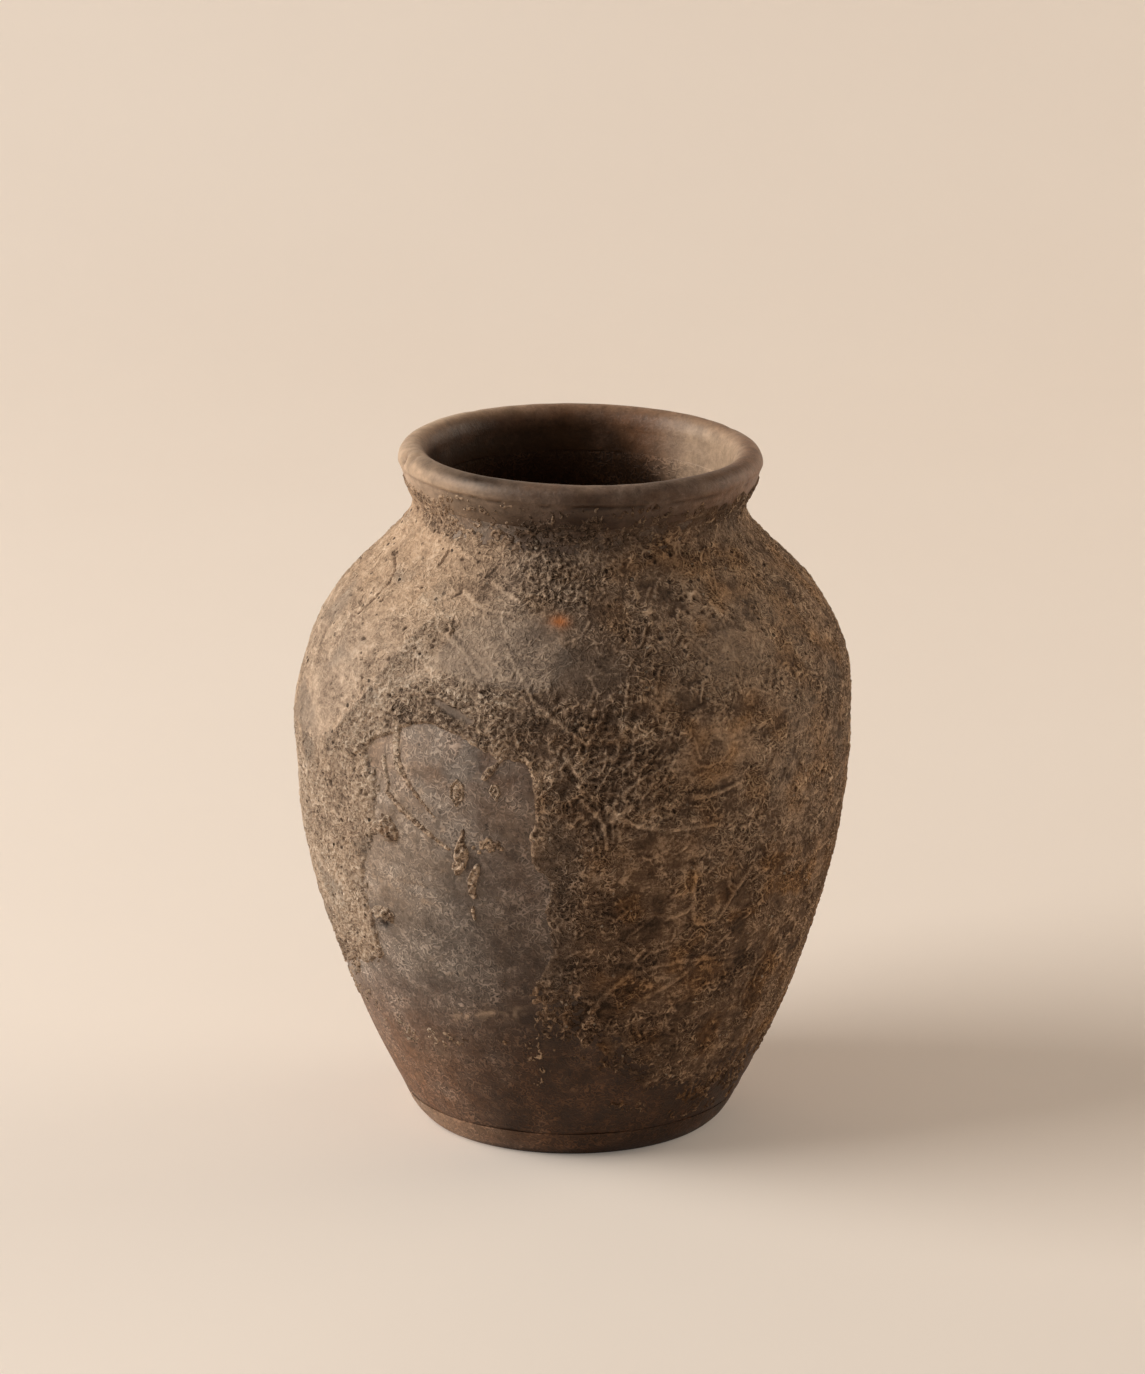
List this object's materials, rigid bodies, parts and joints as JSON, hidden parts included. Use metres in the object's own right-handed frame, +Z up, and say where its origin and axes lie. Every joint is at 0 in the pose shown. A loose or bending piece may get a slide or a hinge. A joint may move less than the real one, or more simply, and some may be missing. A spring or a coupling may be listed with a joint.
{
  "type": "earthenware vase",
  "caption": "Hand-built earthenware vase with a wide shoulder, short neck, rolled rim and narrow flat foot, its outside partly covered by a crust of dried earth.",
  "frame": {"origin": "middle of the flat face that the vase stands on", "axes": "+Z up along the vase's axis, -Y towards the viewer, +X to the viewer's right"},
  "size_m": [0.1622, 0.1625, 0.2007],
  "materials": {
    "fired_clay": "unglazed, smoke darkened, matt",
    "rim_clay": "unglazed, worn smooth, matt",
    "pale_earth": "dry, grainy, matt",
    "dark_earth": "dry, stringy, matt"
  },
  "bodies": {
    "root": {"floor_slab": "fired_clay", "lower_wall": "fired_clay", "middle_wall": "fired_clay", "belly_wall": "fired_clay", "shoulder_wall": "fired_clay", "neck_collar": "fired_clay", "rolled_rim": "rim_clay", "crust_left_shoulder": "pale_earth", "crust_left_ridge": "pale_earth", "crust_left_flank": "pale_earth", "crust_brow": "pale_earth", "crust_upper_front": "pale_earth", "crust_neck_left": "pale_earth", "crust_neck_clump": "dark_earth", "crust_right_shoulder": "dark_earth", "crust_right_flank": "dark_earth", "crust_lower_right": "dark_earth", "crust_back_right": "dark_earth", "crust_back_middle": "dark_earth", "crust_back_left": "dark_earth", "crust_back_low": "dark_earth", "lump_left": "pale_earth", "lump_left_chip": "pale_earth", "lump_left_low": "pale_earth", "bead_left": "pale_earth", "bead_right": "pale_earth", "lump_lower_right": "pale_earth", "run_long_upper": "pale_earth", "run_long_lower": "pale_earth", "drip_brow": "pale_earth", "drip_middle_upper": "pale_earth", "drip_middle_lower": "pale_earth", "drip_middle_tail": "pale_earth"}
  },
  "joints": []
}
